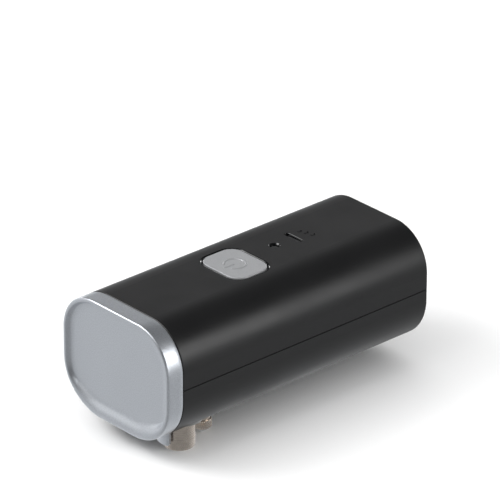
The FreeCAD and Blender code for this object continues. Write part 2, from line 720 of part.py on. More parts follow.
def first_axis():
    """Axis of the first gear, where its distances from the motor and the second gear both fit."""
    to_second = (SECOND_TEETH + SECOND_PINION_TEETH) * SECOND_MODULE / 2
    to_motor = (FIRST_TEETH + MOTOR_PINION_TEETH) * FIRST_MODULE / 2
    line = MOTOR - SECOND_AXIS
    span = line.Length
    along = (to_second ** 2 - to_motor ** 2 + span ** 2) / (2 * span)
    aside = math.sqrt(to_second ** 2 - along ** 2)
    way = V(line).normalize()
    return SECOND_AXIS + way * along + V(-way.y, way.x, 0) * aside


FIRST_AXIS = first_axis()


def gear_pieces():
    """Every toothed piece, each turned so that its teeth sit in the gaps of the one it meets."""
    out = {}
    out["output_gear"] = bored_gear(DRIVE, OUTPUT_TEETH, SLOW_MODULE, 0.0, DRIVE_SHAFT_RADIUS, 17.0, 23.0)
    pinion = meshed_phase(DRIVE, OUTPUT_TEETH, 0.0, THIRD_AXIS, SLOW_PINION_TEETH)
    out["third_gear"] = compound(
        THIRD_AXIS, (THIRD_TEETH, SLOW_MODULE, 0.0), (25.0, 29.0),
        (SLOW_PINION_TEETH, SLOW_MODULE, pinion), (16.5, 25.0), AXLE_RADIUS + RUNNING)
    pinion = meshed_phase(THIRD_AXIS, THIRD_TEETH, 0.0, SECOND_AXIS, THIRD_PINION_TEETH)
    out["second_gear"] = compound(
        SECOND_AXIS, (SECOND_TEETH, SECOND_MODULE, 0.0), (31.0, 34.5),
        (THIRD_PINION_TEETH, SLOW_MODULE, pinion), (24.5, 31.0), AXLE_RADIUS + RUNNING)
    pinion = meshed_phase(SECOND_AXIS, SECOND_TEETH, 0.0, FIRST_AXIS, SECOND_PINION_TEETH)
    out["first_gear"] = compound(
        FIRST_AXIS, (FIRST_TEETH, FIRST_MODULE, 0.0), (44.8, 47.6),
        (SECOND_PINION_TEETH, SECOND_MODULE, pinion), (30.5, 44.8), AXLE_RADIUS + RUNNING)
    pinion = meshed_phase(FIRST_AXIS, FIRST_TEETH, 0.0, MOTOR, MOTOR_PINION_TEETH)
    out["motor_pinion"] = bored_gear(
        MOTOR, MOTOR_PINION_TEETH, FIRST_MODULE, pinion, MOTOR_SHAFT_RADIUS, 44.5, 48.0)
    out["carrier_gear"] = bored_gear(
        CARRIER, CARRIER_TEETH, CLUTCH_MODULE, 0.0, CARRIER_SHAFT_RADIUS, 11.0, 15.0)
    pinion = meshed_phase(CARRIER, CARRIER_TEETH, 0.0, DRIVE, CLUTCH_TEETH)
    out["clutch_pinion"] = bored_gear(
        DRIVE, CLUTCH_TEETH, CLUTCH_MODULE, pinion, DRIVE_SHAFT_RADIUS + RUNNING, 11.2, 14.8)
    return out


def lower_plate():
    plate = pad(52.0, 66.0, 6.0, V(0, 41.0, 0), LOWER_PLATE_Z, LOWER_PLATE_Z + PLATE)
    for centre in (THIRD_AXIS, SECOND_AXIS, FIRST_AXIS):
        plate = plate.cut(cylinder(centre, AXLE_RADIUS, 5, 12))
    for centre, radius in ((DRIVE, DRIVE_BUSH_RADIUS), (CARRIER, CARRIER_BUSH_RADIUS)):
        plate = plate.cut(cylinder(centre, radius, 5, 12))
    return one_solid(plate)


def upper_plate():
    plate = pad(53.0, 97.0, 6.0, V(0, 56.0, 0), UPPER_PLATE_Z, UPPER_PLATE_Z + PLATE)
    for centre in (THIRD_AXIS, SECOND_AXIS, FIRST_AXIS):
        plate = plate.cut(cylinder(centre, AXLE_RADIUS, 45, 55))
    return one_solid(plate.cut(cylinder(DRIVE, DRIVE_BUSH_RADIUS, 45, 55)))


POSTS = (V(-22, 12, 0), V(1, 12, 0), V(-24, 57, 0), V(24, 61, 0))
SHORT_POSTS = (V(-20, 97, 0), V(20, 97, 0))


def gearbox_posts():
    posts = [cylinder(p, 3.0, LOWER_PLATE_Z + PLATE, UPPER_PLATE_Z) for p in POSTS]
    posts += [cylinder(p, 3.0, MOTOR_TOP + BRACKET, UPPER_PLATE_Z) for p in SHORT_POSTS]
    return Part.makeCompound(posts)


def gearbox_screws():
    screws = []
    for p in POSTS + SHORT_POSTS:
        screws.append(cylinder(p, 2.6, UPPER_PLATE_Z + PLATE, UPPER_PLATE_Z + PLATE + 1.6))
    return Part.makeCompound(screws)


def gear_axles():
    axles = [cylinder(p, AXLE_RADIUS, LOWER_PLATE_Z, UPPER_PLATE_Z + PLATE)
             for p in (THIRD_AXIS, SECOND_AXIS, FIRST_AXIS)]
    return Part.makeCompound(axles)


def shaft_bushes():
    """Sintered bushes of the drive shaft, one in each plate, and of the carrier shaft."""
    bushes = []
    for z0, z1 in ((LOWER_PLATE_Z - 1, LOWER_PLATE_Z + PLATE + 0.5), (UPPER_PLATE_Z, UPPER_PLATE_Z + PLATE)):
        bushes.append(tube(DRIVE, DRIVE_BUSH_RADIUS, DRIVE_SHAFT_RADIUS + RUNNING, z0, z1))
    bore = CARRIER_SHAFT_RADIUS + RUNNING
    bushes.append(tube(CARRIER, CARRIER_BUSH_RADIUS, bore, LOWER_PLATE_Z, LOWER_PLATE_Z + PLATE + 0.5))
    return Part.makeCompound(bushes)


def drive_shaft():
    foot = -9.4
    shaft = cylinder(DRIVE, DRIVE_SHAFT_RADIUS, foot, UPPER_PLATE_Z + PLATE)
    return one_solid(shaft.makeChamfer(0.4, edges_at(shaft, foot)))


def drive_wheel():
    """Hardened serrated wheel that grips the can's rim, with a plain shoulder above its teeth."""
    points = []
    for notch in range(DRIVE_WHEEL_TEETH):
        for share, depth in ((0, DRIVE_WHEEL_NOTCH), (0.5, 0)):
            angle = 2 * math.pi * (notch + share) / DRIVE_WHEEL_TEETH
            out = V(math.cos(angle), math.sin(angle), 0) * (DRIVE_WHEEL_RADIUS - depth)
            points.append(DRIVE + out + V(0, 0, -7.5))
    rim = Part.makePolygon(points + points[:1])
    wheel = Part.Face(rim).extrude(V(0, 0, 4.5))
    shoulder = cylinder(DRIVE, DRIVE_WHEEL_RADIUS - 1.0, -3.01, 6.5)
    nut = cylinder(DRIVE, 3.6, -8.6, -7.49)
    return one_solid(wheel.fuse(shoulder).fuse(nut).cut(cylinder(DRIVE, DRIVE_SHAFT_RADIUS, -12, 12)))


def clutch_spring():
    """Wave washer that presses the clutch pinion to the output gear, so that it can slip."""
    return tube(DRIVE, 4.4, 2.6, 15.0, 16.8)


def cutter_carrier():
    """Turned carrier: shaft, disc in the well, and the off-centre pin of the cutting wheel."""
    shaft = cylinder(CARRIER, CARRIER_SHAFT_RADIUS, 6.0, 16.0)
    disc = cylinder(CARRIER, CARRIER_WELL - 0.35, 4.6, 7.4)
    pin = cylinder(CUTTER, CUTTER_PIN_RADIUS, -8.4, 5.0)
    return one_solid(shaft.fuse(disc).fuse(pin))


def cutting_wheel():
    """Smooth stainless wheel with one sharp edge round its middle, closed by a domed foot."""
    r = CUTTING_WHEEL_RADIUS
    bore = CUTTER_PIN_RADIUS + RUNNING
    profile = [
        V(bore, 0, 4.2), V(r - 0.4, 0, 4.2), V(r, 0, 3.8), V(r, 0, -4.2), V(CUTTING_EDGE_RADIUS, 0, -4.5),
        V(r, 0, -4.8), V(r, 0, -9.2), V(r - 0.8, 0, -WHEEL_DROP), V(2.0, 0, -WHEEL_DROP), V(2.0, 0, -9.2),
        V(bore, 0, -9.2),
    ]
    ring = Part.Face(Part.makePolygon(profile + profile[:1])).revolve(V(0, 0, 0), V(0, 0, 1), 360)
    ring.translate(CUTTER)
    return one_solid(ring)


# ---- lid magnet ----------------------------------------------------------------------------------

def magnet_holder():
    holder = cylinder(MAGNET, HOLDER_RADIUS, HOLDER_LOW, HOLDER_TOP)
    holder = holder.makeFillet(0.6, edges_at(holder, HOLDER_LOW))
    holder = holder.fuse(cylinder(MAGNET, HOLDER_RADIUS + 1.3, HOLDER_TOP - 1.5, HOLDER_TOP))
    return one_solid(holder.cut(cylinder(MAGNET, MAGNET_RADIUS, MAGNET_LOW, MAGNET_LOW + 3.0)))


def lid_magnet():
    disc = cylinder(MAGNET, MAGNET_RADIUS, MAGNET_LOW, MAGNET_LOW + 3.0)
    return disc.makeChamfer(0.4, edges_at(disc, MAGNET_LOW))


def main():
    os.makedirs("parts", exist_ok=True)
    pieces = {
        "top_shell": top_shell(),
        "bottom_shell": bottom_shell(),
        "front_cap": front_cap(),
        "cutter_guard": cutter_guard(),
        "power_button": power_button(),
        "button_bezel": button_bezel(),
        "indicator_lens": indicator_lens(),
        "window_strip": window_strip(),
        "screw_plugs": screw_plugs(),
        "battery_door": battery_door(),
        "battery_tray": battery_tray(),
        "contact_plates": contact_plates(),
        "contact_springs": contact_springs(),
        "motor_case": motor_case(),
        "motor_end_bell": motor_end_bell(),
        "motor_magnets": motor_magnets(),
        "motor_armature": motor_armature(),
        "commutator": commutator(),
        "motor_brushes": motor_brushes(),
        "motor_shaft": motor_shaft(),
        "motor_bracket": motor_bracket(),
        "circuit_board": circuit_board(),
        "board_parts": board_parts(),
        "power_switch": power_switch(),
        "motor_leads": motor_leads(),
        "battery_leads": battery_leads(),
        "lower_plate": lower_plate(),
        "upper_plate": upper_plate(),
        "gearbox_posts": gearbox_posts(),
        "gearbox_screws": gearbox_screws(),
        "gear_axles": gear_axles(),
        "shaft_bushes": shaft_bushes(),
        "drive_shaft": drive_shaft(),
        "drive_wheel": drive_wheel(),
        "clutch_spring": clutch_spring(),
        "cutter_carrier": cutter_carrier(),
        "cutting_wheel": cutting_wheel(),
        "magnet_holder": magnet_holder(),
        "lid_magnet": lid_magnet(),
        "magnet_spring": coil(MAGNET, 4.5, SPRING_WIRE, HOLDER_TOP, LOWER_PLATE_Z, 3),
        "button_spring": coil(V(0, BUTTON_Y, 0), 5.2, SPRING_WIRE, BOARD_Z + BOARD, SPRING_SEAT, 4),
        "housing_screws": housing_screws(),
    }
    for number in range(4):
        pieces["battery_cell_%d" % (number + 1)] = battery_cell(number)
    pieces.update(gear_pieces())
    for name, shape in pieces.items():
        write(name, shape)
    print(len(pieces), "pieces")


main()
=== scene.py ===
import json
import math

import bpy
from bpy.props import FloatProperty, FloatVectorProperty, IntProperty, PointerProperty
from mathutils import Matrix, Vector


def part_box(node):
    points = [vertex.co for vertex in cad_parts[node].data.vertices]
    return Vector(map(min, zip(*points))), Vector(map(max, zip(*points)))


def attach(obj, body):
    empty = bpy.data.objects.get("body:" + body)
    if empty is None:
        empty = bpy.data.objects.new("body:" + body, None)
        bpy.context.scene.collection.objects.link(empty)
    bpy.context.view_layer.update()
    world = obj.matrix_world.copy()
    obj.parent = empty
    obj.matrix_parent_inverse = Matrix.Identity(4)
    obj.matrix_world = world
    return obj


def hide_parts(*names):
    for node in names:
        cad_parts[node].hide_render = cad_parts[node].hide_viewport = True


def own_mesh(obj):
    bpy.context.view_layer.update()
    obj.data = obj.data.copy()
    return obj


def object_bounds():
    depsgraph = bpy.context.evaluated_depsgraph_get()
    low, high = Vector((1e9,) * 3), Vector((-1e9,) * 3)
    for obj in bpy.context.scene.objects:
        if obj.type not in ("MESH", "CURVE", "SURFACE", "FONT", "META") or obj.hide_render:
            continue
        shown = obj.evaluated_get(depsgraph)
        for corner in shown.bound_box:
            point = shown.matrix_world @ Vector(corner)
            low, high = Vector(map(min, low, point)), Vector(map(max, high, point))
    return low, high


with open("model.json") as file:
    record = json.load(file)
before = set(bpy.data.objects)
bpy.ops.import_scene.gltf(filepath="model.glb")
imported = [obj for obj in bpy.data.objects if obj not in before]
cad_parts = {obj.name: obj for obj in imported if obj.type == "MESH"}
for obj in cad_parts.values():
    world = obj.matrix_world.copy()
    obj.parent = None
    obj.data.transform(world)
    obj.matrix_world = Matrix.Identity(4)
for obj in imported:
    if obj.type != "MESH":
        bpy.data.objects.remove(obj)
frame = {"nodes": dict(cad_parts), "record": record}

bl_info = {
    "name": "Cordless Can Opener",
    "version": (1, 0, 0),
    "blender": (4, 5, 0),
    "location": "3D View > Sidebar > Can Opener",
    "description": "Outer pieces, finishes and studio of a cordless one-touch can opener",
    "category": "Add Mesh",
}

CAD_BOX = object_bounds()
MM = 0.001

# the housing's cross section, shared by the nose cap, the guard and the shells: its extents, the
# radii of its upper and lower corners, the cap's wall and the gap left behind the cap
CAP_LOW, CAP_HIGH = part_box("front_cap")
HALF_WIDTH = CAP_HIGH.x
BASE = CAP_LOW.z
ROOF = CAP_HIGH.z
NOSE = CAP_LOW.y
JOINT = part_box("top_shell")[0].y
TOP_RADIUS = 23 * MM
BOTTOM_RADIUS = 27 * MM
SKIRT = 2.2 * MM
CAP_GAP = 0.3 * MM
QUARTER = math.pi / 2

# edges between faces that meet at more than this angle stay sharp
SHARP = math.radians(38)


def linear(code):
    """Linear colour of an sRGB hex code."""
    channels = [int(code[place:place + 2], 16) / 255 for place in (0, 2, 4)]
    return [c / 12.92 if c <= 0.04045 else ((c + 0.055) / 1.055) ** 2.4 for c in channels]


def length(name, description, default):
    """A size in millimetres as a property in Blender's metres."""
    return FloatProperty(name=name, description=description, default=default * MM, min=0, unit="LENGTH")


def colour(name, description, code):
    """A linear colour property from an sRGB hex code."""
    return FloatVectorProperty(name=name, description=description, default=linear(code),
                               size=3, min=0, max=1, subtype="COLOR")


class CapSettings(bpy.types.PropertyGroup):
    """Silver nose cap"""
    edge: length("Rim edge", "Radius of the cap's front edge at its top and sides", 1.1)
    chin: length("Chin", "Radius of the cap's front edge at its bottom", 2.5)
    rim: length("Rim", "Width of the raised rim at the top and sides", 2.0)
    lip: length("Lip", "Width of the raised rim at the bottom", 2.9)
    dish: length("Dish", "Depth of the dished face", 2.2)
    slope: length("Slope", "Width of the dish's wall at the top and sides", 1.9)
    ramp: length("Ramp", "Width of the dish's wall at the bottom", 8.0)
    lacquer: colour("Lacquer", "Colour of the metallic lacquer", "D0D4DA")


class KeySettings(bpy.types.PropertyGroup):
    """Power key and the bezel round it"""
    width: length("Width", "Key across the body", 30.6)
    depth: length("Depth", "Key along the body", 24.2)
    corner: length("Corner", "Radius of the key's corners", 7.5)
    edge: length("Edge", "Radius of the key's upper edge", 0.7)
    dish: length("Dish", "How far the key's middle lies under its edge", 0.32)
    symbol: length("Symbol", "Radius of the power symbol's ring", 5.6)
    line: length("Line", "Width of the symbol's lines", 1.55)
    relief: length("Relief", "Height of the symbol over the key's edge", 0.22)
    gap: length("Gap", "Space between key and bezel", 0.5)
    plastic: colour("Key", "Colour of the key", "9C9D9F")


class HeadSettings(bpy.types.PropertyGroup):
    """Drive wheel, cutting wheel and guard"""
    teeth: IntProperty(name="Teeth", description="Teeth round the drive wheel", default=30, min=8)
    tooth: length("Tooth", "Depth of the drive wheel's teeth", 0.45)
    guard: length("Guard", "Thickness of the cutter guard", 1.8)
    steel: colour("Steel", "Colour of the ground stainless wheels", "CFC4B9")


class StudioSettings(bpy.types.PropertyGroup):
    """Camera, lights and floor"""
    azimuth: FloatProperty(name="Azimuth", description="Camera's place round the opener",
                           default=math.radians(47.93), subtype="ANGLE")
    elevation: FloatProperty(name="Elevation", description="Camera's height over the floor as an angle",
                             default=math.radians(26.60), subtype="ANGLE")
    roll: FloatProperty(name="Roll", description="Camera's turn about its own axis",
                        default=math.radians(0.14), subtype="ANGLE")
    distance: length("Distance", "From the camera to the point it looks at", 2530)
    aim: FloatVectorProperty(name="Aim", description="Point looked at, from the middle of the opener's box",
                             default=(-10.2 * MM, 11.0 * MM, 34.7 * MM), subtype="TRANSLATION")
    focal: FloatProperty(name="Focal length", description="Long lens of the product view",
                         default=360.7, min=1)
    floor: colour("Floor", "Colour of the floor", "F4F4F4")


# ---- meshes ----------------------------------------------------------------------------------

def skin(name, rings, closed=True):
    """Mesh of quads between rings of equal length; the first and last rings are closed by fans."""
    count = len(rings[0])
    points = [point for ring in rings for point in ring]
    faces = []
    for row in range(len(rings) - 1):
        for place in range(count):
            beside = (place + 1) % count
            low = row * count
            high = low + count
            faces.append((low + place, low + beside, high + beside, high + place))
    if closed:
        for row in (0, len(rings) - 1):
            middle = sum(rings[row], Vector()) / count
            points.append(middle)
            for place in range(count):
                beside = (place + 1) % count
                edge = (row * count + place, row * count + beside)
                faces.append((len(points) - 1, *(edge if row else reversed(edge))))
    mesh = bpy.data.meshes.new(name)
    mesh.from_pydata([tuple(point) for point in points], [], faces)
    return finished(name, mesh)


def finished(name, mesh):
    """Object of a mesh with smooth faces, sharp where they meet at an angle, and its normals outward."""
    mesh.validate()
    mesh.shade_smooth()
    mesh.set_sharp_from_angle(angle=SHARP)
    piece = bpy.data.objects.new(name, mesh)
    bpy.context.scene.collection.objects.link(piece)
    volume = sum(face.center.dot(face.normal) * face.area for face in mesh.polygons)
    if volume < 0:
        mesh.flip_normals()
    return piece


def joined(name, pieces):
    """One object of several."""
    with bpy.context.temp_override(active_object=pieces[0], selected_editable_objects=pieces):
        bpy.ops.object.join()
    pieces[0].name = name
    return pieces[0]


def fillet(radius, steps):
    """(drawn in, set back) along a quarter round from a wall to a front face."""
    angles = [QUARTER * step / steps for step in range(steps + 1)]
    return [(radius * (1 - math.cos(angle)), radius * (1 - math.sin(angle))) for angle in angles]


def smooth(share):
    """Eases a share from 0 to 1 with no corner at either end."""
    share = max(0.0, min(1.0, share))
    return share * share * (3 - 2 * share)


def arcs(corners, steps, runs):
    """(point, outward way) pairs round an outline of quarter arcs and the straight runs between them.

    Each corner is (centre, radius, start angle).
    """
    found = []
    for number, (centre, radius, start) in enumerate(corners):
        for step in range(steps + 1):
            angle = start + QUARTER * step / steps
            way = Vector((math.cos(angle), math.sin(angle)))
            found.append((centre + way * radius, way))
        following, next_radius, next_start = corners[(number + 1) % len(corners)]
        ahead = following + Vector((math.cos(next_start), math.sin(next_start))) * next_radius
        last, way = found[-1]
        if (ahead - last).length > 1e-6:
            found += [(last.lerp(ahead, run / runs), way) for run in range(1, runs)]
    return found


def section():
    """The housing's cross section as (point, outward way) pairs in x and z."""
    high = ROOF - TOP_RADIUS
    low = BASE + BOTTOM_RADIUS
    corners = [
        (Vector((HALF_WIDTH - BOTTOM_RADIUS, low)), BOTTOM_RADIUS, -QUARTER),
        (Vector((HALF_WIDTH - TOP_RADIUS, high)), TOP_RADIUS, 0.0),
        (Vector((TOP_RADIUS - HALF_WIDTH, high)), TOP_RADIUS, QUARTER),
        (Vector((BOTTOM_RADIUS - HALF_WIDTH, low)), BOTTOM_RADIUS, math.pi),
    ]
    return arcs(corners, 18, 8)


def rounded(width, depth, corner):
    """Rounded rectangle about the origin as (point, outward way) pairs in x and y."""
    x = width / 2 - corner
    y = depth / 2 - corner
    corners = []
    for number, (side, end) in enumerate(((1, -1), (1, 1), (-1, 1), (-1, -1))):
        corners.append((Vector((side * x, end * y)), corner, QUARTER * (number - 1)))
    return arcs(corners, 14, 6)


def flat_rings(outline, centre, profile):
    """Rings of an outline in plan, one for each (drawn in, height) of its profile."""
    rings = []
    for inward, height in profile:
        ring = [point - way * inward for point, way in outline]
        rings.append([Vector((centre.x + p.x, centre.y + p.y, height)) for p in ring])
    return rings


def shrunk(ring, shares, lift=0.0):
    """Copies of a ring drawn towards its middle, rising by lift at the middle."""
    middle = sum(ring, Vector()) / len(ring)
    rings = []
    for share in shares:
        rise = Vector((0, 0, lift * (1 - share * share)))
        rings.append([middle.lerp(point, share) + rise for point in ring])
    return rings


def about(centre, radius, angle, height):
    """Point at a radius and an angle round an upright axis."""
    return Vector((centre.x + radius * math.cos(angle), centre.y + radius * math.sin(angle), height))


def turned(name, centre, profile):
    """Lathe-turned piece about an upright axis; profile is (radius, height) pairs."""
    steps = 96
    rings = []
    for radius, height in profile:
        rings.append([about(centre, radius, math.tau * step / steps, height) for step in range(steps)])
    return skin(name, rings)


def middle_of(node):
    """Middle of a packed piece's box."""
    low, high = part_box(node)
    return (low + high) / 2


def fit(piece, body, slot, material, *nodes):
    """Gives a piece its finish and its body, and hides the plain pieces that it stands for."""
    piece.data.materials.clear()
    piece.data.materials.append(material)
    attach(piece, body)
    if nodes:
        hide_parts(*nodes)


# ---- finishes --------------------------------------------------------------------------------

def add(tree, kind, inputs=None, **settings):
    """Adds a node; an input is a value or another node's output."""
    node = tree.nodes.new(kind)
    for name, value in settings.items():
        setattr(node, name, value)
    for name, value in (inputs or {}).items():
        if isinstance(value, bpy.types.NodeSocket):
            tree.links.new(value, node.inputs[name])
        else:
            node.inputs[name].default_value = value
    return node


def finish(name, base, metallic, roughness, **sockets):
    """A material as (material, tree, shader, place); place is the piece's own coordinates in metres."""
    material = bpy.data.materials.new(name)
    material.use_nodes = True
    tree = material.node_tree
    shader = tree.nodes["Principled BSDF"]
    shader.inputs["Base Color"].default_value = (*base, 1)
    shader.inputs["Metallic"].default_value = metallic
    shader.inputs["Roughness"].default_value = roughness
    for socket, value in sockets.items():
        shader.inputs[socket.replace("_", " ")].default_value = value
    place = add(tree, "ShaderNodeTexCoord").outputs["Object"]
    return material, tree, shader, place


def per_metre(millimetres):
    """Texture scale that repeats once in so many millimetres."""
    return 1 / (millimetres * MM)


def mottle(tree, shader, place, base, size, spread, detail=2.0):
    """Varies the base colour a little in patches of the given size in millimetres."""
    noise = add(tree, "ShaderNodeTexNoise", {"Vector": place, "Scale": per_metre(size), "Detail": detail})
    ramp = add(tree, "ShaderNodeValToRGB", {"Fac": noise.outputs["Fac"]})
    ramp.color_ramp.elements[0].position = 0.3
    ramp.color_ramp.elements[1].position = 0.7
    for element, share in zip(ramp.color_ramp.elements, (1 - spread, 1 + spread)):
        element.color = (*[min(1, channel * share) for channel in base], 1)
    tree.links.new(ramp.outputs["Color"], shader.inputs["Base Color"])


def wear(tree, shader, place, size, low, high):
    """Varies roughness between two values in soft patches, as handling polishes a surface."""
    noise = add(tree, "ShaderNodeTexNoise", {"Vector": place, "Scale": per_metre(size), "Detail": 3.0})
    span = add(tree, "ShaderNodeMapRange",
               {"Value": noise.outputs["Fac"], "From Min": 0.35, "From Max": 0.65,
                "To Min": low, "To Max": high})
    tree.links.new(span.outputs["Result"], shader.inputs["Roughness"])


def grain(tree, shader, height, depth):
    """Bump of the given depth in millimetres."""
    bump = add(tree, "ShaderNodeBump", {"Height": height, "Distance": depth * MM, "Strength": 1.0})
    tree.links.new(bump.outputs["Normal"], shader.inputs["Normal"])


def moulded_abs():
    """Spark-textured ABS: a soft even sheen with no mirror image; its grit is drawn at 0.5 mm to show."""
    base = linear("0F0F10")
    material, tree, shader, place = finish("moulded_black_abs", base, 0, 0.4, IOR=1.53)
    mottle(tree, shader, place, base, 0.5, 0.12)
    wear(tree, shader, place, 24, 0.37, 0.43)
    grit = add(tree, "ShaderNodeTexNoise", {"Vector": place, "Scale": per_metre(0.5), "Detail": 3.0})
    grain(tree, shader, grit.outputs["Fac"], 0.012)
    return material


def polished_abs():
    """ABS from a polished mould: tight bright lines along the bezel's lips."""
    base = linear("101011")
    material, tree, shader, place = finish("polished_black_abs", base, 0, 0.16, IOR=1.53)
    mottle(tree, shader, place, base, 6, 0.1)
    wear(tree, shader, place, 5, 0.13, 0.2)
    return material


def silver_lacquer():
    """Metallic lacquer on ABS: flakes give a cool grey body, a fine sparkle and a soft-edged highlight."""
    base = list(bpy.context.scene.opener_cap.lacquer)
    material, tree, shader, place = finish("silver_metallic_lacquer", base, 0.92, 0.36, Coat_Weight=0.25,
                                           Coat_Roughness=0.22)
    mottle(tree, shader, place, base, 0.55, 0.1, 4.0)
    wear(tree, shader, place, 18, 0.33, 0.39)
    flake = add(tree, "ShaderNodeTexVoronoi", {"Vector": place, "Scale": per_metre(0.6)})
    grain(tree, shader, flake.outputs["Distance"], 0.01)
    return material


def key_lacquer():
    """Satin silver-grey lacquer of the key: paler and flatter than the nose, worn smoother by thumbs."""
    base = list(bpy.context.scene.opener_key.plastic)
    material, tree, shader, place = finish("satin_grey_key", base, 0.35, 0.42)
    mottle(tree, shader, place, base, 0.5, 0.06, 3.0)
    wear(tree, shader, place, 7, 0.38, 0.46)
    grit = add(tree, "ShaderNodeTexNoise", {"Vector": place, "Scale": per_metre(0.4), "Detail": 2.0})
    grain(tree, shader, grit.outputs["Fac"], 0.006)
    return material


def smoked_polycarbonate():
    """Smoked polycarbonate light window: nearly black, glossy, with a faint cloud inside."""
    base = linear("08080A")
    material, tree, shader, place = finish("smoked_polycarbonate", base, 0, 0.08, IOR=1.585)
    mottle(tree, shader, place, base, 1.5, 0.3)
    wear(tree, shader, place, 2, 0.05, 0.12)
    return material


def ground_steel(name, base, pitch, low, high):
    """Steel ground round its axis: fine rings along the height blur reflections up and down."""
    material, tree, shader, place = finish(name, base, 1.0, low)
    mottle(tree, shader, place, base, 3, 0.08)
    rows = add(tree, "ShaderNodeMapping", {"Vector": place, "Scale": (8.0, 8.0, per_metre(pitch))})
    lines = add(tree, "ShaderNodeTexNoise", {"Vector": rows.outputs["Vector"], "Scale": 1.0, "Detail": 3.0})
    span = add(tree, "ShaderNodeMapRange", {"Value": lines.outputs["Fac"], "To Min": low, "To Max": high})
    tree.links.new(span.outputs["Result"], shader.inputs["Roughness"])
    shader.inputs["Anisotropic"].default_value = 0.7
    around = add(tree, "ShaderNodeTangent", direction_type="RADIAL", axis="Z")
    tree.links.new(around.outputs["Tangent"], shader.inputs["Tangent"])
    grain(tree, shader, lines.outputs["Fac"], 0.006)
    return material


def ground_stainless():
    """Ground stainless of the wheels: a warm grey with long light streaks."""
    return ground_steel("ground_stainless", list(bpy.context.scene.opener_head.steel), 0.25, 0.2, 0.34)


def machined_steel():
    """Turned carbon steel of shafts, gears and posts: plain grey with tool rings."""
    return ground_steel("machined_steel", linear("B4B4B2"), 0.4, 0.26, 0.42)


def zinc_plate():
    """Zinc-plated pressed steel: bluish, with the faint spangle of the plating."""
    base = linear("BFC4C9")
    material, tree, shader, place = finish("zinc_plated_steel", base, 1.0, 0.36)
    spangle = add(tree, "ShaderNodeTexVoronoi", {"Vector": place, "Scale": per_metre(3.5)})
    span = add(tree, "ShaderNodeMapRange",
               {"Value": spangle.outputs["Distance"], "To Min": 0.3, "To Max": 0.46})
    tree.links.new(span.outputs["Result"], shader.inputs["Roughness"])
    mottle(tree, shader, place, base, 3.5, 0.08)
    return material


def nickel_plate():
    """Nickel plate on springs and contacts: bright, slightly yellow."""
    base = linear("C9C5BC")
    material, tree, shader, place = finish("nickel_plated_steel", base, 1.0, 0.22)
    mottle(tree, shader, place, base, 2, 0.06)
    wear(tree, shader, place, 2, 0.17, 0.3)
    return material


def sintered_bronze():
    """Oil-filled sintered bronze: dull, with dark pores drawn at 0.3 mm to show."""
    base = linear("A07A4C")
    material, tree, shader, place = finish("sintered_bronze", base, 1.0, 0.45)
    mottle(tree, shader, place, base, 0.3, 0.35, 1.0)
    pores = add(tree, "ShaderNodeTexNoise", {"Vector": place, "Scale": per_metre(0.3)})
    grain(tree, shader, pores.outputs["Fac"], 0.02)
    return material


def moulded(name, code, roughness, size):
    """Plain moulded plastic with a faint grain."""
    base = linear(code)
    material, tree, shader, place = finish(name, base, 0, roughness)
    mottle(tree, shader, place, base, size * 6, 0.08)
    grit = add(tree, "ShaderNodeTexNoise", {"Vector": place, "Scale": per_metre(size), "Detail": 2.0})
    grain(tree, shader, grit.outputs["Fac"], 0.01)
    return material


def inner_abs():
    """Unpainted black ABS of the battery bay and end bell: duller than the shells."""
    return moulded("inner_black_abs", "1D1D1E", 0.55, 0.6)


def acetal():
    """Acetal of the fast gears: milky white with a waxy sheen."""
    return moulded("natural_acetal", "E4E2DA", 0.38, 0.8)


def epoxy():
    """Epoxy-moulded components: matt charcoal."""
    return moulded("moulded_epoxy", "1A1A1B", 0.6, 0.3)


def solder_mask():
    """Glass-fibre board under green solder mask: tracks show as slightly raised, lighter lines."""
    base = linear("14502C")
    material, tree, shader, place = finish("green_solder_mask", base, 0, 0.3)
    tracks = add(tree, "ShaderNodeTexBrick",
                 {"Vector": place, "Scale": per_metre(6), "Color1": (*base, 1), "Color2": (*base, 1),
                  "Mortar": (*linear("2C7A45"), 1), "Mortar Size": 0.06, "Brick Width": 1.0,
                  "Row Height": 0.35})
    tree.links.new(tracks.outputs["Color"], shader.inputs["Base Color"])
    grain(tree, shader, tracks.outputs["Fac"], 0.03)
    return material


def cell_film():
    """Alkaline cell: dark printed film with a pale band, and bare nickel-plated ends."""
    low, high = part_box("battery_cell_1")
    material, tree, shader, place = finish("cell_film", linear("23262B"), 0, 0.28)
    along = add(tree, "ShaderNodeSeparateXYZ", {"Vector": place}).outputs["Y"]
    share = add(tree, "ShaderNodeMapRange",
                {"Value": along, "From Min": low.y - 2.4 * MM, "From Max": high.y}).outputs["Result"]
    bands = add(tree, "ShaderNodeValToRGB", {"Fac": share})
    bands.color_ramp.interpolation = "CONSTANT"
    stops = ((0.0, "C9C5BC"), (0.075, "23262B"), (0.3, "8F979F"), (0.34, "23262B"),
             (0.66, "8F979F"), (0.7, "23262B"), (0.93, "C9C5BC"))
    metal = add(tree, "ShaderNodeValToRGB", {"Fac": share})
    metal.color_ramp.interpolation = "CONSTANT"
    for ramp, levels in ((bands, stops), (metal, ((0.0, "FFFFFF"), (0.075, "000000"), (0.93, "FFFFFF")))):
        elements = ramp.color_ramp.elements
        while len(elements) < len(levels):
            elements.new(1.0)
        for element, (position, code) in zip(elements, levels):
            element.position = position
            element.color = (*linear(code), 1)
    tree.links.new(bands.outputs["Color"], shader.inputs["Base Color"])
    tree.links.new(metal.outputs["Color"], shader.inputs["Metallic"])
    wear(tree, shader, place, 4, 0.22, 0.34)
    return material


def insulation(name, code):
    """Soft PVC insulation: coloured, slightly glossy, faintly wavy."""
    return moulded(name, code, 0.35, 0.9)


def red_insulation():
    """Red PVC of the positive leads."""
    return insulation("red_pvc", "A81E1C")


def black_insulation():
    """Black PVC of the negative leads."""
    return insulation("black_pvc", "1B1B1C")


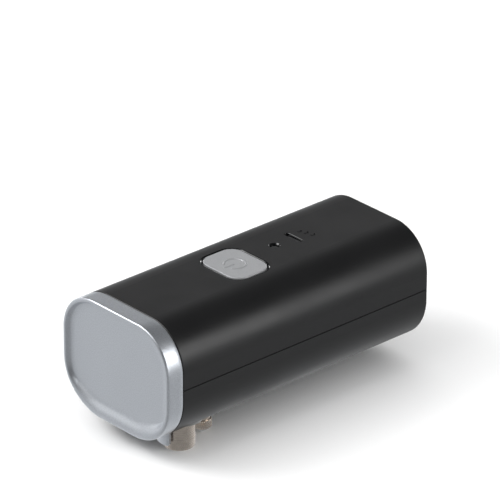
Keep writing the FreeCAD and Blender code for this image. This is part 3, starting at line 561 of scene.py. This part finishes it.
def plated_magnet():
    """Nickel plate of the lid magnet: bright, with fine scuffs from lids."""
    base = linear("B9B7B2")
    material, tree, shader, place = finish("plated_magnet", base, 1.0, 0.28)
    mottle(tree, shader, place, base, 1.2, 0.12)
    wear(tree, shader, place, 1.0, 0.2, 0.42)
    return material


FINISHES = {
    "black_abs": moulded_abs,
    "silver_paint": silver_lacquer,
    "grey_key": key_lacquer,
    "smoked_window": smoked_polycarbonate,
    "inner_plastic": inner_abs,
    "white_acetal": acetal,
    "steel": machined_steel,
    "stainless": ground_stainless,
    "zinc_plate": zinc_plate,
    "bronze": sintered_bronze,
    "board_green": solder_mask,
    "component_black": epoxy,
    "cell_jacket": cell_film,
    "spring_steel": nickel_plate,
    "wire_red": red_insulation,
    "wire_black": black_insulation,
    "ferrite": plated_magnet,
    "polished_abs": polished_abs,
}
MADE = {}


def material_of(slot):
    """The one material of a finish, made when first asked for."""
    if slot not in MADE:
        MADE[slot] = FINISHES[slot]()
    return MADE[slot]


# ---- pieces ----------------------------------------------------------------------------------

class OPENER_OT_finishes(bpy.types.Operator):
    """Give every carried-over piece its material"""
    bl_idname = "opener.finishes"
    bl_label = "Finishes"

    def execute(self, context):
        for part in frame["record"]["subparts"]:
            for slot in frame["nodes"][part["node"]].material_slots:
                slot.material = material_of(part["material_slot"])
        return {"FINISHED"}


class OPENER_OT_nose_cap(bpy.types.Operator):
    """Silver nose cap: tight rim, dished face that ramps out to a thin lip, soft chin"""
    bl_idname = "opener.nose_cap"
    bl_label = "Nose Cap"

    def profile(self, cap, down):
        """(drawn in, set back) from the inside of the cap round its rim to the foot of its dish."""
        edge = cap.edge + (cap.chin - cap.edge) * down
        rim = cap.rim + (cap.lip - cap.rim) * down
        slope = cap.slope + (cap.ramp - cap.slope) * down
        back = JOINT - NOSE - CAP_GAP
        inside = 2 * SKIRT
        wall = SKIRT + 0.1 * MM
        spigot = back + 0.8 * MM
        break_edge = 0.25 * MM
        break_middle = 0.07 * MM
        line = [(inside, inside), (inside, spigot), (wall, spigot), (wall, back), (break_edge, back),
                (break_middle, back - break_middle), (0, back - break_edge)]
        line += [(0, back * share + edge * (1 - share)) for share in (0.75, 0.5, 0.25)]
        line += fillet(edge, 8)
        line.append((rim - 0.35 * MM, 0))
        steps = 12
        for step in range(steps + 1):
            share = step / steps
            line.append((rim - 0.2 * MM + slope * share, cap.dish * smooth(share)))
        return line

    def execute(self, context):
        cap = context.scene.opener_cap
        columns = []
        for point, way in section():
            down = smooth((-way.y - 0.35) / 0.65)
            column = []
            for inward, back in self.profile(cap, down):
                at = point - way * inward
                column.append(Vector((at.x, NOSE + back, at.y)))
            columns.append(column)
        rings = [list(ring) for ring in zip(*columns)]
        floor = shrunk(rings[-1], (0.9, 0.7, 0.45, 0.2))
        inner = shrunk(rings[0], (0.2, 0.6))
        piece = skin("nose_cap", inner + rings + floor)
        fit(piece, "housing", "silver_paint", material_of("silver_paint"), "front_cap")
        return {"FINISHED"}


class OPENER_OT_power_key(bpy.types.Operator):
    """Dished power key with its raised power symbol"""
    bl_idname = "opener.power_key"
    bl_label = "Power Key"

    # (side, rise) over the crown of a raised line, in shares of its width and its height
    CROWN = ((-0.5, -0.15), (-0.36, 0.45), (-0.14, 0.94), (0, 1), (0.14, 0.94), (0.36, 0.45), (0.5, -0.15))

    def line(self, name, path, width, height, surface):
        """Raised line with rounded ends along a path of plan points, standing on a surface."""
        rings = []
        ends = 4
        first = (path[0] - path[1]).normalized()
        last = (path[-1] - path[-2]).normalized()
        stations = []
        for step in range(ends):
            angle = QUARTER * step / ends
            stations.append((path[0] + first * width / 2 * math.cos(angle), -first, math.sin(angle)))
        for number, point in enumerate(path):
            ahead = path[min(number + 1, len(path) - 1)] - path[max(number - 1, 0)]
            stations.append((point, ahead.normalized(), 1.0))
        for step in reversed(range(ends)):
            angle = QUARTER * step / ends
            stations.append((path[-1] + last * width / 2 * math.cos(angle), last, math.sin(angle)))
        for point, ahead, share in stations:
            share = max(share, 0.05)
            across = Vector((-ahead.y, ahead.x))
            ring = []
            for side, rise in self.CROWN:
                at = point + across * side * width * share
                ring.append(Vector((at.x, at.y, surface(at) + height * rise * min(1, share + 0.1))))
            rings.append(ring)
        return skin(name, rings)

    def execute(self, context):
        key = context.scene.opener_key
        low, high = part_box("power_button")
        centre = middle_of("power_button")
        top = high.z - key.relief - 0.02 * MM
        outline = rounded(key.width, key.depth, key.corner)
        wall = 2 * MM
        flange = 1.3 * MM
        flange_top = low.z + 1.4 * MM
        profile = [(wall, top - wall), (wall, low.z), (-flange, low.z), (-flange, flange_top),
                   (0, flange_top), (0, (low.z + top) / 2), (0, top - key.edge - 1 * MM)]
        profile += [(inward, top - back) for inward, back in fillet(key.edge, 7)]
        rings = flat_rings(outline, centre, profile)
        rings += shrunk(rings[-1], (0.96, 0.9, 0.8, 0.7, 0.6, 0.5, 0.4, 0.3, 0.2, 0.1), -key.dish)
        rings = shrunk(rings[0], (0.3, 0.7)) + rings
        body = skin("power_key", rings)

        half = Vector((key.width, key.depth)) / 2 - Vector((key.edge, key.edge))

        def surface(at):
            """Height of the dished top under a plan point."""
            share = max(abs(at.x - centre.x) / half.x, abs(at.y - centre.y) / half.y)
            return top - key.dish * (1 - share * share)

        plan = Vector((centre.x, centre.y))
        opening = math.radians(38)
        turns = 48
        ring = []
        for step in range(turns + 1):
            angle = -QUARTER + opening + (math.tau - 2 * opening) * step / turns
            ring.append(plan + Vector((math.cos(angle), math.sin(angle))) * key.symbol)
        bar = [plan - Vector((0, key.symbol * share)) for share in (0.25, 0.5, 0.75, 1.0, 1.22)]
        height = key.relief + key.dish * 0.75
        paths = (("ring", ring), ("bar", bar))
        marks = [self.line(name, path, key.line, height, surface) for name, path in paths]
        piece = joined("power_key", [body] + marks)
        fit(piece, "button", "grey_key", material_of("grey_key"), "power_button")
        return {"FINISHED"}


class OPENER_OT_bezel(bpy.types.Operator):
    """Glossy bezel that falls in a soft bevel to the key"""
    bl_idname = "opener.bezel"
    bl_label = "Key Bezel"

    def execute(self, context):
        key = context.scene.opener_key
        low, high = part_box("button_bezel")
        centre = middle_of("button_bezel")
        flange = 1.0 * MM
        flange_top = low.z + 1.9 * MM
        lip = 0.15 * MM
        reach = (high.x - low.x) / 2 - flange - key.width / 2
        top = high.z
        outline = rounded(key.width, key.depth, key.corner)
        outer = -reach + 0.04 * MM
        profile = [(-key.gap, low.z), (outer - flange, low.z), (outer - flange, flange_top),
                   (outer, flange_top), (outer, top - lip)]
        profile += [(outer + inward, top - back) for inward, back in fillet(lip, 3)]
        start = outer + 0.18 * MM
        profile += [(start, top - 0.02 * MM), (start + 0.08 * MM, top - 0.06 * MM),
                    (start + 0.44 * MM, top - 0.42 * MM), (start + 0.5 * MM, top - 1.0 * MM),
                    (-key.gap - 0.05 * MM, top - 1.25 * MM), (-key.gap, top - 1.4 * MM)]
        profile.append((-key.gap, (low.z + top) / 2))
        rings = flat_rings(outline, centre, profile)
        piece = skin("key_bezel", rings + [rings[0]], closed=False)
        fit(piece, "housing", "black_abs", material_of("polished_abs"), "button_bezel")
        return {"FINISHED"}


class OPENER_OT_windows(bpy.types.Operator):
    """Domed indicator lens and light strip, each with a flared polished rim"""
    bl_idname = "opener.windows"
    bl_label = "Light Windows"

    # (drawn in, height under the roof) in millimetres, over each flared rim and down to the dome
    RIMS = {
        "indicator_lens": ((0.02, -0.58), (-0.54, 0), (-0.44, 0), (0.12, -0.56), (0.12, -1.1)),
        "window_strip": ((0.02, -0.34), (-0.36, -0.34), (-0.36, 0), (-0.3, 0), (-0.12, -0.18),
                         (-0.1, -0.28), (0.1, -0.3), (0.12, -1.1)),
    }

    def execute(self, context):
        top = ROOF - 0.03 * MM
        dome = 0.3 * MM
        for node, rim in self.RIMS.items():
            low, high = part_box(node)
            size = high - low
            outline = rounded(size.x, size.y, size.y / 2 - 0.001 * MM)
            profile = [(0.02 * MM, low.z)] + [(inward * MM, top + height * MM) for inward, height in rim]
            rings = flat_rings(outline, (low + high) / 2, profile)
            rings += shrunk(rings[-1], (0.85, 0.65, 0.4, 0.15), dome)
            fit(skin("domed_" + node, rings), "housing", "smoked_window", material_of("smoked_window"), node)
        return {"FINISHED"}


class OPENER_OT_cutting_wheel(bpy.types.Operator):
    """Ground cutting wheel with one sharp edge and a rounded foot"""
    bl_idname = "opener.cutting_wheel"
    bl_label = "Cutting Wheel"

    def execute(self, context):
        low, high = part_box("cutting_wheel")
        centre = middle_of("cutting_wheel")
        radius = (high.x - low.x) / 2 - 0.4 * MM
        edge = radius + 0.25 * MM
        bore = 2.55 * MM
        level = low.z + 5.5 * MM
        foot = 0.8 * MM
        profile = [(bore, high.z - 2 * MM), (bore, high.z - 0.2 * MM), (bore + 0.2 * MM, high.z)]
        crown = 0.5 * MM
        crown_middle = 0.15 * MM
        profile += [(radius - crown, high.z), (radius - crown_middle, high.z - crown_middle),
                    (radius, high.z - crown)]
        profile += [(radius, level + 1.0 * MM), (radius + 0.02 * MM, level + 0.6 * MM), (edge, level),
                    (edge - 0.06 * MM, level - 0.3 * MM), (radius + 0.08 * MM, level - 2.0 * MM),
                    (radius, low.z + foot)]
        profile += [(radius - inward, low.z + back) for inward, back in fillet(foot, 6)[1:]]
        groove = low.z + 0.25 * MM
        pin = low.z + 0.05 * MM
        profile += [(radius - 1.6 * MM, low.z), (3.4 * MM, low.z), (3.2 * MM, groove), (2.2 * MM, groove),
                    (2.0 * MM, pin), (0.6 * MM, pin)]
        piece = turned("ground_cutting_wheel", centre, [(2.5 * MM, high.z - 2 * MM)] + profile)
        fit(piece, "cutter", "stainless", material_of("stainless"), "cutting_wheel")
        return {"FINISHED"}


class OPENER_OT_springs(bpy.types.Operator):
    """Coil springs of the key and the lid magnet"""
    bl_idname = "opener.springs"
    bl_label = "Springs"

    def coil(self, name, centre, radius, wire, low, high, turns):
        """Round wire wound about an upright axis between two heights."""
        rings = []
        steps_in_turn = 24
        steps = steps_in_turn * turns
        sides = 10
        rise = high - low - wire
        for step in range(steps + 1):
            angle = math.tau * step / steps_in_turn
            out = Vector((math.cos(angle), math.sin(angle), 0))
            along = Vector((-out.y, out.x, rise / (math.tau * radius * turns))).normalized()
            lift = along.cross(out) * -1
            at = Vector((centre.x, centre.y, low + wire / 2 + rise * step / steps)) + out * radius
            ring = []
            for side in range(sides):
                turn = math.tau * side / sides
                ring.append(at + (out * math.cos(turn) + lift * math.sin(turn)) * wire / 2)
            rings.append(ring)
        return skin(name, rings)

    def execute(self, context):
        wire = 0.6 * MM
        springs = (("button_spring", "button_press", 4, False), ("magnet_spring", "magnet_float", 3, True))
        for node, joint, turns, from_top in springs:
            low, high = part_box(node)
            centre = (low + high) / 2
            radius = (high.y - low.y - wire) / 2
            piece = self.coil(node + "_coil", centre, radius, wire, low.z, high.z, turns)
            fit(piece, "housing", "spring_steel", material_of("spring_steel"), node)
            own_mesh(piece)
        return {"FINISHED"}


class OPENER_OT_drive_wheel(bpy.types.Operator):
    """Serrated drive wheel with its shoulder and lock nut"""
    bl_idname = "opener.drive_wheel"
    bl_label = "Drive Wheel"

    # (share of the pitch, share of the tooth's depth) round one rounded tooth
    TOOTH = ((0, 1), (0.12, 0.85), (0.42, 0.08), (0.5, 0), (0.58, 0.08), (0.88, 0.85))

    def execute(self, context):
        head = context.scene.opener_head
        low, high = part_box("drive_wheel")
        centre = middle_of("drive_wheel")
        radius = (high.y - low.y) / 2
        foot = low.z + 1.1 * MM
        crest = foot + 4.5 * MM
        bevel = 0.35 * MM
        rings = []
        levels = ((foot, bevel), (foot + bevel, 0), ((foot + crest) / 2, 0), (crest - bevel, 0),
                  (crest, bevel))
        for height, cut in levels:
            ring = []
            for notch in range(head.teeth):
                for share, depth in self.TOOTH:
                    angle = math.tau * (notch + share) / head.teeth
                    reach = min(radius - head.tooth * depth, radius - cut)
                    ring.append(about(centre, reach, angle, height))
            rings.append(ring)
        wheel = skin("wheel", shrunk(rings[0], (0.5,)) + rings + shrunk(rings[-1], (0.5,)))

        neck = radius - 1 * MM
        bore = 2.5 * MM
        chamfer = 0.3 * MM
        shoulder = turned("shoulder", centre, [(bore, crest - 0.1 * MM), (neck, crest - 0.1 * MM),
                                               (neck, high.z - chamfer), (neck - chamfer, high.z),
                                               (bore, high.z)])

        nut_rings = []
        for height, reach in ((low.z, 3.25), (low.z + 0.2 * MM, 3.6), (foot + 0.05 * MM, 3.6)):
            angles = [math.tau * corner / 6 for corner in range(6)]
            corners = [Vector((math.cos(angle), math.sin(angle))) * reach * MM for angle in angles]
            ring = []
            for number, corner in enumerate(corners):
                ring += [corner.lerp(corners[(number + 1) % 6], share) for share in (0, 0.33, 0.67)]
            nut_rings.append([Vector((centre.x + p.x, centre.y + p.y, height)) for p in ring])
        nut = skin("nut", shrunk(nut_rings[0], (0.75,)) + nut_rings)
        piece = joined("serrated_drive_wheel", [wheel, shoulder, nut])
        fit(piece, "drive", "stainless", material_of("stainless"), "drive_wheel")
        return {"FINISHED"}


class OPENER_OT_guard(bpy.types.Operator):
    """Bent guard in front of the cutting wheel, with rounded edges"""
    bl_idname = "opener.guard"
    bl_label = "Cutter Guard"

    def execute(self, context):
        head = context.scene.opener_head
        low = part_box("cutter_guard")[0]
        axis = middle_of("carrier_gear")
        inner = abs(low.y - axis.y) - head.guard
        rings = []
        start = math.radians(-175)
        end = math.radians(-70)
        steps = 40
        corner = 1.2 * MM
        roll = 0.35 * MM
        thick = head.guard
        for step in range(steps + 1):
            angle = start + (end - start) * step / steps
            way = Vector((math.cos(angle), math.sin(angle), 0))
            side = max(0.0, abs(axis.x + way.x * inner) - (HALF_WIDTH - BOTTOM_RADIUS))
            ceiling = BASE + BOTTOM_RADIUS - math.sqrt(BOTTOM_RADIUS ** 2 - side ** 2) - 0.05 * MM
            end_share = min(1.0, min(step, steps - step) / 3)
            bottom = low.z + corner * (1 - math.sin(QUARTER * end_share))
            nip = roll * 0.3
            shape = [(0, ceiling), (0, bottom + roll), (nip, bottom + nip), (roll, bottom),
                     (thick - roll, bottom), (thick - nip, bottom + nip), (thick, bottom + roll),
                     (thick, ceiling)]
            ring = []
            for out, height in shape:
                at = axis + way * (inner + out)
                ring.append(Vector((at.x, at.y, height)))
            rings.append(ring)
        piece = skin("bent_guard", rings)
        fit(piece, "housing", "silver_paint", material_of("silver_paint"), "cutter_guard")
        return {"FINISHED"}


# ---- studio ----------------------------------------------------------------------------------

def softbox(name, place, width, height, radiance, target):
    """Square light panel that faces the target with an even radiance."""
    data = bpy.data.lights.new(name, "AREA")
    data.shape = "RECTANGLE"
    data.size = width
    data.size_y = height
    data.energy = radiance * math.pi * width * height
    lamp = bpy.data.objects.new(name, data)
    lamp.location = place
    lamp.rotation_euler = (place - target).to_track_quat("Z", "Y").to_euler()
    lamp.visible_camera = False
    bpy.context.scene.collection.objects.link(lamp)
    return lamp


class OPENER_OT_studio(bpy.types.Operator):
    """Pale floor, soft lights and the product camera"""
    bl_idname = "opener.studio"
    bl_label = "Studio"

    # name, place from the opener's middle in metres, width, height, radiance, lights matt faces,
    # shows in glossy faces
    LIGHTS = (
        ("key_light", (-0.75, -0.75, 0.95), 0.7, 0.7, 6.0, True, True),
        ("front_light", (-0.1, -1.1, 1.3), 0.8, 0.6, 3.0, True, True),
        ("side_light", (0.78, 0.4, 0.32), 0.36, 0.5, 4.4, True, True),
        ("front_wall_light", (-0.95, -0.85, 0.32), 1.0, 0.6, 1.1, True, True),
        ("rear_wall_light", (-0.95, 0.86, 0.64), 1.0, 0.7, 0.33, True, True),
        ("left_glint", (-1.2, 0.33, 0.12), 0.3, 0.26, 6.0, False, True),
        ("rear_glint", (-0.42, 1.15, 0.14), 0.3, 0.26, 6.0, False, True),
        ("right_glint", (1.25, 0.1, 0.12), 0.3, 0.26, 6.0, False, True),
        ("tent_light", (0, 0, 3.0), 10.0, 10.0, 1.05, True, False),
    )

    def floor(self, studio):
        """Pale sheet a little under the opener, out of sight of its reflections."""
        mesh = bpy.data.meshes.new("floor")
        reach = 6.0
        level = CAD_BOX[0].z - 0.2 * MM
        ways = ((-1, -1), (1, -1), (1, 1), (-1, 1))
        corners = [(reach * side, reach * end, level) for side, end in ways]
        mesh.from_pydata(corners, [], [(0, 1, 2, 3)])
        floor = bpy.data.objects.new("floor", mesh)
        bpy.context.scene.collection.objects.link(floor)
        base = list(studio.floor)
        material, tree, shader, place = finish("pale_floor", base, 0, 0.8)
        mottle(tree, shader, place, base, 400, 0.01)
        mesh.materials.append(material)
        floor.visible_glossy = False

    def world(self):
        """Pale to the camera; in reflections dark overhead and pale below, brightest in front."""
        world = bpy.data.worlds.new("studio")
        world.use_nodes = True
        bpy.context.scene.world = world
        tree = world.node_tree
        way = add(tree, "ShaderNodeTexCoord").outputs["Generated"]
        height = add(tree, "ShaderNodeSeparateXYZ", {"Vector": way}).outputs["Z"]
        forward = add(tree, "ShaderNodeVectorMath", {0: way, 1: (-0.8, 0.6, 0)}, operation="DOT_PRODUCT")
        below = add(tree, "ShaderNodeMapRange", {"Value": height, "From Min": 0.1, "From Max": -0.12})
        share = add(tree, "ShaderNodeMapRange", {"Value": forward.outputs["Value"], "From Min": -0.4,
                                                 "From Max": 1.0, "To Min": 0.24, "To Max": 0.85})
        level = add(tree, "ShaderNodeMath", {0: below.outputs["Result"], 1: share.outputs["Result"], 2: 0.1},
                    operation="MULTIPLY_ADD")
        surround = tree.nodes["Background"]
        surround.inputs["Color"].default_value = (0.97, 0.985, 1, 1)
        tree.links.new(level.outputs["Value"], surround.inputs["Strength"])
        backdrop = add(tree, "ShaderNodeBackground", {"Color": (1, 1, 1, 1), "Strength": 0.95})
        seen = add(tree, "ShaderNodeLightPath").outputs["Is Camera Ray"]
        both = add(tree, "ShaderNodeMixShader", {"Fac": seen})
        tree.links.new(surround.outputs[0], both.inputs[1])
        tree.links.new(backdrop.outputs[0], both.inputs[2])
        tree.links.new(both.outputs[0], tree.nodes["World Output"].inputs["Surface"])

    def lights(self, target):
        """Soft panels that face the opener's middle."""
        for name, place, width, height, radiance, diffuse, glossy in self.LIGHTS:
            lamp = softbox(name, target + Vector(place), width, height, radiance, target)
            lamp.visible_diffuse = diffuse
            lamp.visible_glossy = glossy

    def camera(self, studio, target):
        """Long lens on the point aimed at."""
        way = Vector((math.sin(studio.azimuth) * math.cos(studio.elevation),
                      -math.cos(studio.azimuth) * math.cos(studio.elevation), math.sin(studio.elevation)))
        data = bpy.data.cameras.new("camera")
        data.lens = studio.focal
        data.sensor_width = 36
        data.clip_end = 20
        camera = bpy.data.objects.new("camera", data)
        bpy.context.scene.collection.objects.link(camera)
        look = (-way).to_track_quat("-Z", "Y").to_matrix().to_4x4()
        camera.matrix_world = (Matrix.Translation(target + Vector(studio.aim) + way * studio.distance)
                               @ look @ Matrix.Rotation(studio.roll, 4, "Z"))
        bpy.context.scene.camera = camera

    def execute(self, context):
        studio = context.scene.opener_studio
        target = (CAD_BOX[0] + CAD_BOX[1]) / 2
        self.floor(studio)
        self.world()
        self.lights(target)
        self.camera(studio, target)
        context.scene.view_settings.view_transform = "Standard"
        return {"FINISHED"}


SETTINGS = {
    "opener_cap": CapSettings,
    "opener_key": KeySettings,
    "opener_head": HeadSettings,
    "opener_studio": StudioSettings,
}
OPERATORS = (
    OPENER_OT_studio,
    OPENER_OT_finishes,
    OPENER_OT_nose_cap,
    OPENER_OT_power_key,
    OPENER_OT_bezel,
    OPENER_OT_windows,
    OPENER_OT_cutting_wheel,
    OPENER_OT_drive_wheel,
    OPENER_OT_guard,
    OPENER_OT_springs,
)


class OPENER_PT_panel(bpy.types.Panel):
    """Pieces and sizes of the can opener"""
    bl_label = "Can Opener"
    bl_idname = "OPENER_PT_panel"
    bl_space_type = "VIEW_3D"
    bl_region_type = "UI"
    bl_category = "Can Opener"

    def draw(self, context):
        for name, group in SETTINGS.items():
            box = self.layout.box()
            box.label(text=group.__doc__)
            for field in group.__annotations__:
                box.prop(getattr(context.scene, name), field)
        for operator in OPERATORS:
            self.layout.operator(operator.bl_idname)


def register():
    """Makes the classes and their settings known to Blender."""
    for kind in (*SETTINGS.values(), *OPERATORS, OPENER_PT_panel):
        bpy.utils.register_class(kind)
    for name, group in SETTINGS.items():
        setattr(bpy.types.Scene, name, PointerProperty(type=group))


def unregister():
    """Takes back everything that register did."""
    for name in SETTINGS:
        delattr(bpy.types.Scene, name)
    for kind in (OPENER_PT_panel, *reversed(OPERATORS), *reversed(list(SETTINGS.values()))):
        bpy.utils.unregister_class(kind)


def main():
    """Builds everything in order."""
    register()
    for operator in OPERATORS:
        group, name = operator.bl_idname.split(".")
        getattr(getattr(bpy.ops, group), name)()


if __name__ == "__main__":
    main()
